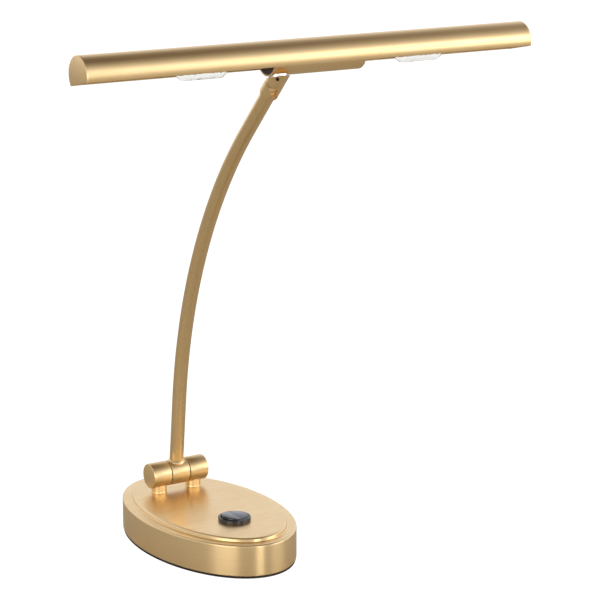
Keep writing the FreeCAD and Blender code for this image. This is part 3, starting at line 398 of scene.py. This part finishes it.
def bulb_glass(name):
    recipe = Recipe(name, IOR=1.46, Transmission_Weight=1.0)
    wave = recipe.noise(recipe.place(), scale=240.0, detail=2.0, rough=0.5)
    fog = recipe.noise(recipe.place(), scale=90.0)
    recipe.link(recipe.between(fog, GLASS_FOG, GLASS), "Base Color")
    recipe.link(recipe.spread(fog, source=(0.4, 0.7), target=(0.02, 0.08)), "Roughness")
    recipe.bump(wave, strength=0.35, distance=0.0004)
    return recipe.material


def floor_paint(name):
    """Pale floor that the camera sees as the white background."""
    recipe = Recipe(name, Roughness=0.9)
    recipe.shader.inputs["Base Color"].default_value = (*colours().floor, 1)
    glow = recipe.value("ShaderNodeEmission", {}, {"Color": WHITE, "Strength": FLOOR_GLOW})
    seen = (recipe.ray("Is Camera Ray") + recipe.ray("Is Transmission Ray")) * FLOOR_GLOW_SHARE
    surface = recipe.mixed(seen, Value(recipe, recipe.shader.outputs[0]), glow)
    recipe.tree.links.new(surface.socket, recipe.tree.nodes["Material Output"].inputs["Surface"])
    return recipe.material


def box_size(node):
    low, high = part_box(node)
    return high - low


def box_centre(node):
    low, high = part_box(node)
    return (low + high) / 2


def lean(angle):
    """Direction that leans forward from upright."""
    return Vector((0, -math.sin(angle), math.cos(angle)))


def head_frame():
    """Matrix of the shade's own frame: X along it, Z square to its open side."""
    head = bpy.context.scene.lamp_head
    centre = SWIVEL + UPRIGHT * head.face_drop + X_AXIS * head.shift
    across = UPRIGHT.cross(X_AXIS)
    turn = Matrix((X_AXIS, across, UPRIGHT)).transposed().to_4x4()
    return Matrix.Translation(centre) @ turn


def new_mesh(name, form, material, body, slot, *nodes):
    """Turn a bmesh into a piece that rides on a body and stands for some nodes."""
    mesh = bpy.data.meshes.new(name)
    form.to_mesh(mesh)
    form.free()
    piece = bpy.data.objects.new(name, mesh)
    bpy.context.scene.collection.objects.link(piece)
    mesh.materials.append(material)
    mesh.shade_smooth()
    mesh.set_sharp_from_angle(angle=SMOOTH_ANGLE)
    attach(piece, body)
    if nodes:
        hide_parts(*nodes)
    return piece


def dress(material, *names):
    """Give carried CAD nodes their finish."""
    for name in names:
        node = frame["nodes"][name]
        node.data.materials.clear()
        node.data.materials.append(material)


def only(kind, parts):
    """Parts of one kind, out of what a bmesh operator made."""
    return [part for part in parts if isinstance(part, kind)]


def tidy_normals(form):
    bmesh.ops.remove_doubles(form, verts=form.verts, dist=MERGE_DISTANCE)
    bmesh.ops.recalc_face_normals(form, faces=form.faces)


def soften(form, edges, offset):
    bmesh.ops.bevel(form, geom=edges, offset=offset, segments=RIM_STEPS, profile=0.5, affect="EDGES",
                    material=-1)


def arc_points(centre, radius, start, end, steps):
    """Points of a round in a profile, from one angle to another, in degrees."""
    first = math.radians(start)
    turn = (math.radians(end) - first) / steps
    return [(centre[0] + radius * math.cos(first + turn * step),
             centre[1] + radius * math.sin(first + turn * step)) for step in range(steps + 1)]


def turned(profile, origin, axis, steps, closed=False):
    """Spin a profile of (distance along, radius) points round an axis."""
    form = bmesh.new()
    side = axis.orthogonal().normalized()
    verts = [bmesh.ops.create_vert(form, co=origin + axis * along + side * radius)["vert"][0]
             for along, radius in profile]
    loop = list(zip(verts, verts[1:]))
    if closed:
        loop.append((verts[-1], verts[0]))
    edges = [form.edges.new(pair) for pair in loop]
    bmesh.ops.spin(form, geom=verts + edges, cent=origin, axis=axis, angle=math.tau, steps=steps,
                   use_merge=True, use_duplicate=False)
    tidy_normals(form)
    return form


def oval_wall(rings, half_width, half_length):
    """Solid of oval rings, each given as (inset, height), closed over its first and last ring."""
    form = bmesh.new()
    bmesh.ops.create_circle(form, cap_ends=False, radius=1.0, segments=OVAL_STEPS)
    first = form.edges[:]
    edges = first
    verts = form.verts[:]
    wide, long, level = 1.0, 1.0, 0.0
    for place, (inset, height) in enumerate(rings):
        if place > 0:
            made = bmesh.ops.extrude_edge_only(form, edges=edges)["geom"]
            verts = only(bmesh.types.BMVert, made)
            edges = [edge for edge in only(bmesh.types.BMEdge, made) if edge.is_boundary]
        new_wide, new_long = half_width - inset, half_length - inset
        bmesh.ops.scale(form, vec=(new_wide / wide, new_long / long, 1), verts=verts)
        bmesh.ops.translate(form, vec=(0, 0, height - level), verts=verts)
        wide, long, level = new_wide, new_long, height
    bmesh.ops.contextual_create(form, geom=first)
    bmesh.ops.contextual_create(form, geom=edges)
    tidy_normals(form)
    return form


def cover_rings(sizes):
    """Rings of the cover: out over the plateau, down the step and the wall, and back up inside."""
    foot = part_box("base_shell")[0].z
    band = sizes.band_height
    step = sizes.band_inset
    wall = sizes.wall
    rings = [(step + sizes.top_round + sizes.top_margin, PLATEAU)]
    rings += arc_points((step + sizes.top_round, PLATEAU - sizes.top_round), sizes.top_round, 90, 180,
                        EDGE_STEPS)
    rings += arc_points((step - sizes.foot_round, band + sizes.foot_round), sizes.foot_round, 0, -90,
                        FOOT_STEPS)
    rings += arc_points((sizes.edge_round, band - sizes.edge_round), sizes.edge_round, 90, 180, EDGE_STEPS)
    rings += [(0.0, foot + sizes.lip_round), (sizes.lip_round, foot), (wall, foot)]
    rings += [(wall, band - wall), (step + wall, band - wall), (step + wall, PLATEAU - wall)]
    return rings


class DRESS_OT_base(bpy.types.Operator):
    """Model the oval cover with its rim band and stepped plateau"""
    bl_idname = "lamp.base_cover"
    bl_label = "Base cover"

    def execute(self, context):
        size = box_size("base_shell")
        form = oval_wall(cover_rings(context.scene.lamp_base), size.x / 2, size.y / 2)
        brushed = gold("gold_cover", grain=(6.0, 6.0, 2600.0), rough=0.34, grain_depth=0.8, streak=0.85)
        cover = new_mesh("base_cover", form, brushed, "base", "satin_gold", "base_shell")
        cover.data.materials.append(gold("gold_plateau", grain=(60.0, 900.0, 60.0), rough=0.34,
                                         grain_depth=0.6))
        for face in cover.data.polygons:
            if face.normal.z > UPWARD:
                face.material_index = 1
        dress(felt("felt"), "felt_pad")
        dress(cast_iron("iron"), "ballast_weight")
        dress(plated_steel("zinc"), "bottom_plate", "base_screws", "post_nuts", "hinge_bolt",
              "hinge_spring_washer", "switch_terminals")
        dress(moulded("grommet_rubber", RUBBER, 0.7), "cable_gland")
        dress(moulded("terminal_white", TERMINAL), "terminal_block")
        return {"FINISHED"}


def barrel_form(node, rim):
    """Solid barrel on the hinge axis, with softened ends."""
    low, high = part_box(node)
    length = high.x - low.x
    shoulder = (high.y - low.y) / 2 - rim
    profile = [(0.0, 0.0)]
    profile += arc_points((rim, shoulder), rim, 180, 90, RIM_STEPS)
    profile += arc_points((length - rim, shoulder), rim, 90, 0, RIM_STEPS)
    profile += [(length, 0.0)]
    return turned(profile, Vector((low.x, HINGE.y, HINGE.z)), X_AXIS, BARREL_STEPS)


def washer_form(node, softness):
    low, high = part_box(node)
    thick = high.x - low.x
    radius = (high.y - low.y) / 2
    bore = box_size("hinge_bolt").y / 2
    soft = thick * softness
    profile = [(0.0, bore), (0.0, radius - soft), (soft, radius), (thick - soft, radius),
               (thick, radius - soft), (thick, bore)]
    return turned(profile, Vector((low.x, HINGE.y, HINGE.z)), X_AXIS, BARREL_STEPS, closed=True)


def post_form(node, sizes):
    """Post that flares where it leaves the cover and ends inside its barrel."""
    centre = box_centre(node)
    radius = box_size(node).x / 2
    flare = sizes.post_flare
    shank = radius - flare * sizes.flare_draw
    top = HINGE.z - PLATEAU - radius * sizes.post_stop
    profile = [(0.0, 0.0), (0.0, radius), (flare / 2, radius), (flare, shank), (flare * 2, shank),
               (top, shank), (top, 0.0)]
    return turned(profile, Vector((centre.x, centre.y, PLATEAU)), Z_AXIS, POST_STEPS)


class DRESS_OT_hinge(bpy.types.Operator):
    """Model the three barrels, their washers and the two posts"""
    bl_idname = "lamp.hinge"
    bl_label = "Hinge"

    def execute(self, context):
        sizes = context.scene.lamp_base
        across = gold("gold_turned", grain=(2400.0, 14.0, 14.0), rough=0.40)
        for body, *nodes in (("base", "outer_knuckle_left"),
                             ("base", "outer_knuckle_right", "hinge_end_cap"),
                             ("arm", "centre_knuckle")):
            form = barrel_form(nodes[0], sizes.barrel_chamfer)
            new_mesh(nodes[0].replace("_knuckle", "_barrel"), form, across, body, "satin_gold", *nodes)
        # Washers get a quarter of the plug's paleness: their own black, darkened further as painted shade for
        # the narrow gaps between the barrels
        black = satin_black("washer_black_gap_shade", paleness=0.25)
        upright = gold("gold_posts", grain=(14.0, 14.0, 2400.0), rough=0.40)
        for side in ("left", "right"):
            node = f"hinge_washer_{side}"
            form = washer_form(node, sizes.washer_soft)
            new_mesh(f"washer_{side}", form, black, "base", "black_plastic", node)
        for side in ("left", "right"):
            node = f"hinge_post_{side}"
            new_mesh(f"post_{side}", post_form(node, sizes), upright, "base", "satin_gold", node)
        return {"FINISHED"}


def tube_form(sizes, radius):
    """Tube with a straight run at each end of its bend."""
    low_way = lean(sizes.lean_low)
    start = HINGE + low_way * sizes.seat
    bend_start = HINGE + low_way * sizes.first_run
    bend_centre = bend_start + lean(sizes.lean_low + math.pi / 2) * sizes.bend_radius
    place = Matrix.Translation(start) @ Matrix.Rotation(sizes.lean_low, 4, "X")
    form = bmesh.new()
    for ring in (radius, radius - sizes.tube_wall):
        bmesh.ops.create_circle(form, cap_ends=False, radius=ring, segments=TUBE_STEPS, matrix=place)
    bmesh.ops.bridge_loops(form, edges=form.edges)
    made = bmesh.ops.extrude_face_region(form, geom=form.faces[:])["geom"]
    bmesh.ops.translate(form, vec=bend_start - start, verts=only(bmesh.types.BMVert, made))
    bend_face = only(bmesh.types.BMFace, made)
    made = bmesh.ops.spin(form, geom=bend_face, cent=bend_centre, axis=X_AXIS,
                          angle=sizes.lean_high - sizes.lean_low, steps=BEND_STEPS,
                          use_duplicate=False)["geom_last"]
    bmesh.ops.delete(form, geom=bend_face, context="FACES_ONLY")
    last_face = only(bmesh.types.BMFace, made)
    made = bmesh.ops.extrude_face_region(form, geom=last_face)["geom"]
    bmesh.ops.delete(form, geom=last_face, context="FACES_ONLY")
    bmesh.ops.translate(form, vec=lean(sizes.lean_high) * sizes.last_run,
                        verts=only(bmesh.types.BMVert, made))
    tidy_normals(form)
    return form


def root_form(sizes, radius):
    """Ring of weld round the tube, which starts in the barrel and runs out on the tube."""
    weld = sizes.weld
    root = box_size("centre_knuckle").z / 2
    start = root - weld * 1.6
    crest = root - weld * 0.7
    tail = root - weld * 0.35
    slope = [math.sin(math.radians(angle)) for angle in (30, 60, 90)]
    profile = [(start, radius), (crest, radius + weld)]
    profile += [(tail + weld * part, radius + weld * (1 - part)) for part in slope]
    profile += [(root + weld, radius - sizes.weld_overlap)]
    return turned(profile, HINGE, lean(sizes.lean_low), TUBE_STEPS, closed=True)


class DRESS_OT_arm(bpy.types.Operator):
    """Sweep the bent tube and its root fillet"""
    bl_idname = "lamp.arm"
    bl_label = "Arm"

    def execute(self, context):
        sizes = context.scene.lamp_arm
        radius = box_size("arm_tube").x / 2
        metal = gold("gold_tube", grain=(900.0, 700.0, 30.0), rough=0.30, grain_depth=0.5)
        new_mesh("arm_bar", tube_form(sizes, radius), metal, "arm", "satin_gold", "arm_tube")
        new_mesh("arm_root", root_form(sizes, radius), metal, "arm", "satin_gold")
        dress(moulded("lead_black", LEAD), "arm_lead", "head_wires")
        return {"FINISHED"}


class DRESS_OT_knuckle(bpy.types.Operator):
    """Finish the knuckle at the top of the arm and its screws"""
    bl_idname = "lamp.knuckle"
    bl_label = "Top knuckle"

    def execute(self, context):
        turn = (-context.scene.lamp_arm.lean_high, 0, 0)
        dress(gold("gold_knuckle", grain=(60.0, 60.0, 1800.0), turn=turn, rough=0.36),
              "lower_coupling", "upper_coupling")
        dress(plated_steel("blackened", BLACKENED, 0.4), "coupling_screw", "stud_grub_screw")
        dress(plated_steel("nickel", NICKEL, 0.22), "swivel_washer")
        dress(plated_steel("zinc_small"), "coupling_washer", "swivel_stud", "swivel_nut")
        return {"FINISHED"}


def trough_form(head, half, radius):
    """Sheet bent round the shade's axis, open below, with a wall and rounded long edges."""
    drop_angle = math.asin(head.open_drop / radius)
    start = Vector((-half, -radius * math.cos(drop_angle), -head.open_drop))
    form = bmesh.new()
    vert = bmesh.ops.create_vert(form, co=start)["vert"]
    bmesh.ops.spin(form, geom=vert, cent=(0, 0, 0), axis=(-1, 0, 0), angle=math.pi + drop_angle * 2,
                   steps=TROUGH_STEPS, use_duplicate=False)
    made = bmesh.ops.extrude_edge_only(form, edges=form.edges[:])["geom"]
    bmesh.ops.translate(form, vec=(half * 2, 0, 0), verts=only(bmesh.types.BMVert, made))
    bmesh.ops.recalc_face_normals(form, faces=form.faces)
    inward = sum(face.normal.dot(face.calc_center_median().cross(X_AXIS).cross(X_AXIS))
                 for face in form.faces)
    if inward > 0:
        bmesh.ops.reverse_faces(form, faces=form.faces)
    bmesh.ops.solidify(form, geom=form.faces[:] + form.edges[:] + form.verts[:], thickness=head.wall)
    cut_edges = [edge for edge in form.edges
                 if abs(edge.verts[0].co.x - edge.verts[1].co.x) > half
                 and edge.calc_face_angle(0) > SMOOTH_ANGLE]
    soften(form, cut_edges, head.edge_round)
    tidy_normals(form)
    return form


def end_form(head, radius, inner, outer):
    """Flat plate with the trough's outline, from its inner face to its outer one, along X."""
    form = bmesh.new()
    bmesh.ops.create_circle(form, cap_ends=True, radius=radius, segments=END_STEPS,
                            matrix=Matrix.Rotation(math.pi / 2, 4, "Y"))
    geometry = form.verts[:] + form.edges[:] + form.faces[:]
    bmesh.ops.bisect_plane(form, geom=geometry, plane_co=(0, 0, -head.open_drop), plane_no=(0, 0, -1),
                           clear_outer=True)
    bmesh.ops.translate(form, vec=(inner, 0, 0), verts=form.verts)
    made = bmesh.ops.extrude_face_region(form, geom=form.faces[:])["geom"]
    bmesh.ops.translate(form, vec=(outer - inner, 0, 0), verts=only(bmesh.types.BMVert, made))
    tidy_normals(form)
    rim = [edge for edge in form.edges if all(abs(vert.co.x - outer) < ON_FACE for vert in edge.verts)]
    soften(form, rim, head.cap_round)
    return form


class DRESS_OT_shade(bpy.types.Operator):
    """Model the trough shade and its two flat ends"""
    bl_idname = "lamp.shade"
    bl_label = "Shade"

    def execute(self, context):
        head = context.scene.lamp_head
        place = head_frame()
        size = box_size("shade_shell")
        radius = size.y / 2
        form = trough_form(head, size.x / 2, radius)
        bmesh.ops.transform(form, matrix=place, verts=form.verts)
        metal = gold("gold_shade", grain=(10.0, 900.0, 900.0), rough=0.34)
        new_mesh("shade_trough", form, metal, "head", "satin_gold", "shade_shell")
        end_metal = gold("gold_ends", grain=(40.0, 120.0, 120.0), rough=0.38)
        outer = (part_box("shade_end_right")[1].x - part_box("shade_end_left")[0].x) / 2
        inner = outer - head.cap_thick
        for side, sign in (("left", -1), ("right", 1)):
            form = end_form(head, radius, sign * inner, sign * outer)
            bmesh.ops.transform(form, matrix=place, verts=form.verts)
            new_mesh(f"end_plate_{side}", form, end_metal, "head", "satin_gold", f"shade_end_{side}")
        dress(moulded("white_liner", LINER, 0.3), "reflector")
        dress(metal, "shade_carrier", "carrier_end_right")
        dress(satin_black("plug_black"), "carrier_end_left")
        dress(plated_steel("zinc_posts"), "carrier_posts", "carrier_screws")
        return {"FINISHED"}


class DRESS_OT_lamps(bpy.types.Operator):
    """Finish the holders and the capsule bulbs"""
    bl_idname = "lamp.bulbs"
    bl_label = "Bulbs"

    def execute(self, context):
        dress(moulded("steatite", STEATITE, 0.6), "lampholder_left", "lampholder_right")
        dress(bulb_glass("capsule_glass"), "bulb_glass_left", "bulb_glass_right")
        dress(plated_steel("lamp_wire", LAMP_WIRE, 0.35), "bulb_pins_left", "bulb_pins_right",
              "filament_left", "filament_right")
        return {"FINISHED"}


def bezel_form(sizes):
    """Switch body below the plateau, its bezel above it, and the rocker's well."""
    housing = box_size("switch_housing").x / 2
    thick = sizes.bezel_thick
    soft = sizes.bezel_round
    well = sizes.well_radius
    well_edge = soft / 3
    floor = thick - sizes.well_depth
    profile = [(-sizes.body_depth, 0.0), (-sizes.body_depth, sizes.body_radius), (0.0, sizes.body_radius)]
    profile += [(0.0, housing)]
    profile += [(thick - soft + along, housing - soft + out)
                for out, along in arc_points((0.0, 0.0), soft, 0, 90, BEZEL_STEPS)]
    profile += [(thick, well + well_edge), (thick - well_edge, well), (floor, well), (floor, 0.0)]
    return turned(profile, Vector((ROCKER.x, ROCKER.y, PLATEAU)), Z_AXIS, SWITCH_STEPS)


def rocker_form(sizes):
    """Round rocker, its top folded along a crease, leaning to its pressed side."""
    form = bmesh.new()
    bmesh.ops.create_cone(form, cap_ends=True, segments=SWITCH_STEPS, radius1=sizes.rocker_radius,
                          radius2=sizes.rocker_radius, depth=sizes.crease + sizes.below)
    geometry = form.verts[:] + form.edges[:] + form.faces[:]
    bmesh.ops.bisect_plane(form, geom=geometry, plane_co=(0, 0, 0), plane_no=X_AXIS)
    for vert in form.verts:
        if vert.co.z > 0:
            vert.co.z = sizes.crease + abs(vert.co.x) * math.tan(sizes.facet)
        else:
            vert.co.z = -sizes.below
    rim = [edge for edge in form.edges
           if all(vert.co.z > 0 for vert in edge.verts) and edge.calc_face_angle(0) > SMOOTH_ANGLE]
    soften(form, rim, sizes.soft)
    bmesh.ops.recalc_face_normals(form, faces=form.faces)
    place = Matrix.Translation(ROCKER) @ Matrix.Rotation(sizes.tilt, 4, "Y")
    bmesh.ops.transform(form, matrix=place, verts=form.verts)
    return form


class DRESS_OT_switch(bpy.types.Operator):
    """Model the round rocker switch"""
    bl_idname = "lamp.switch"
    bl_label = "Switch"

    def execute(self, context):
        sizes = context.scene.lamp_switch
        new_mesh("switch_bezel", bezel_form(sizes), gloss_black("switch_black"), "base", "black_plastic",
                 "switch_housing")
        new_mesh("rocker_cap", rocker_form(sizes), gloss_black("rocker_black"), "rocker", "black_plastic",
                 "switch_rocker")
        return {"FINISHED"}


def add_floor(scene):
    form = bmesh.new()
    bmesh.ops.create_grid(form, x_segments=1, y_segments=1, size=FLOOR_SIZE)
    bmesh.ops.translate(form, vec=(0, 0, -FLOOR_DROP), verts=form.verts)
    mesh = bpy.data.meshes.new("studio_floor")
    form.to_mesh(mesh)
    form.free()
    mesh.materials.append(floor_paint("floor_paint"))
    floor = bpy.data.objects.new("studio_floor", mesh)
    scene.collection.objects.link(floor)


def set_world(scene):
    """Bright belt round the horizon and a dim ceiling, seen in the metal; white behind the lamp."""
    world = bpy.data.worlds.new("studio")
    scene.world = world
    world.use_nodes = True
    world.node_tree.nodes.clear()
    sky = NodeMaker(world.node_tree)
    place = sky.value("ShaderNodeTexCoord", {}, {}, "Generated")
    height = sky.value("ShaderNodeSeparateXYZ", {}, {0: place}, "Z")
    belt = sky.value("ShaderNodeValToRGB", {"stops": (BELT, CEILING)}, {0: height})
    glow = sky.value("ShaderNodeBackground", {}, {"Color": belt, "Strength": SKY_POWER})
    white = sky.value("ShaderNodeBackground", {}, {"Color": WHITE, "Strength": 1.0})
    camera_ray = sky.ray("Is Camera Ray")
    seen = camera_ray.maths("MAXIMUM", camera_ray, sky.ray("Is Transmission Ray"))
    sky.node("ShaderNodeOutputWorld", {}, {"Surface": sky.mixed(seen, glow, white)})


def add_softbox(scene, name, spot, aim, width, height, power):
    light = bpy.data.lights.new(name, "AREA")
    light.shape = "RECTANGLE"
    light.size = width
    light.size_y = height
    light.energy = power
    lamp = bpy.data.objects.new(name, light)
    scene.collection.objects.link(lamp)
    lamp.location = spot
    lamp.rotation_euler = (Vector(aim) - Vector(spot)).to_track_quat("-Z", "Y").to_euler()


def set_camera(scene):
    camera = bpy.data.objects.new("camera", bpy.data.cameras.new("camera"))
    scene.collection.objects.link(camera)
    camera.location = CAMERA_PLACE
    camera.rotation_euler = (math.radians(90 - CAMERA_ELEVATION), 0, math.radians(CAMERA_AZIMUTH))
    camera.data.lens = CAMERA_LENS
    camera.data.clip_end = CAMERA_REACH
    scene.camera = camera


class DRESS_OT_stage(bpy.types.Operator):
    """Set the floor, the soft lights and the camera"""
    bl_idname = "lamp.stage"
    bl_label = "Stage"

    def execute(self, context):
        add_floor(context.scene)
        set_world(context.scene)
        for light in LIGHTS:
            add_softbox(context.scene, *light)
        set_camera(context.scene)
        context.scene.view_settings.view_transform = "Standard"
        return {"FINISHED"}


class DRESS_PT_panel(bpy.types.Panel):
    """Buttons for every group of pieces"""
    bl_idname = "DRESS_PT_panel"
    bl_label = "Piano lamp"
    bl_space_type = "VIEW_3D"
    bl_region_type = "UI"
    bl_category = "Lamp"

    def draw(self, context):
        for operator in OPERATORS:
            self.layout.operator(operator.bl_idname)


OPERATORS = (DRESS_OT_stage, DRESS_OT_base, DRESS_OT_hinge, DRESS_OT_arm, DRESS_OT_knuckle,
             DRESS_OT_shade, DRESS_OT_lamps, DRESS_OT_switch)
GROUPS = {"lamp_base": LampBaseSizes, "lamp_switch": LampSwitchSizes, "lamp_arm": LampArmSizes,
          "lamp_head": LampHeadSizes, "lamp_colours": LampColours}


def register():
    for group in GROUPS.values():
        bpy.utils.register_class(group)
    for operator in OPERATORS:
        bpy.utils.register_class(operator)
    bpy.utils.register_class(DRESS_PT_panel)
    for name, group in GROUPS.items():
        setattr(bpy.types.Scene, name, bpy.props.PointerProperty(type=group))


def unregister():
    for name in GROUPS:
        delattr(bpy.types.Scene, name)
    bpy.utils.unregister_class(DRESS_PT_panel)
    for operator in reversed(OPERATORS):
        bpy.utils.unregister_class(operator)
    for group in reversed(list(GROUPS.values())):
        bpy.utils.unregister_class(group)


def main():
    register()
    for operator in OPERATORS:
        family, name = operator.bl_idname.split(".")
        getattr(getattr(bpy.ops, family), name)()


if __name__ == "__main__":
    main()
